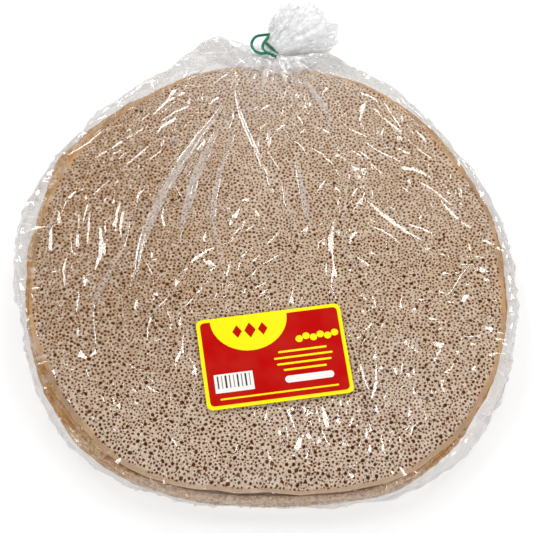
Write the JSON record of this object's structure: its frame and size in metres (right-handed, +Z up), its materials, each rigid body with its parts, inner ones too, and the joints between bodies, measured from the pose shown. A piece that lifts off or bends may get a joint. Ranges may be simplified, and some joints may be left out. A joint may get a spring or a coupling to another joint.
{
  "type": "bagged injera flatbread stack",
  "caption": "Round stack of spongy injera flatbreads in a clear crumpled bag, gathered and tied at one end, with a rounded label on top.",
  "frame": {"origin": "middle of the pack's bounding box, on the flat underside", "axes": "+Z up out of the shown side, +Y towards the tied neck, +X to the right of a viewer who has the neck at the far end"},
  "size_m": [0.3619, 0.4002, 0.0361],
  "materials": {
    "film": "clear thin crumpled film, sharp white glints, milky where it is gathered",
    "injera": "matt beige spongy bread, full of small dark pores",
    "label": "smooth printed paper, red and yellow fields with white panels",
    "tie": "green plastic ribbon with a wire core"
  },
  "bodies": {
    "root": {"bag": "film", "label": "label", "twist_tie": "tie"}
  },
  "joints": []
}
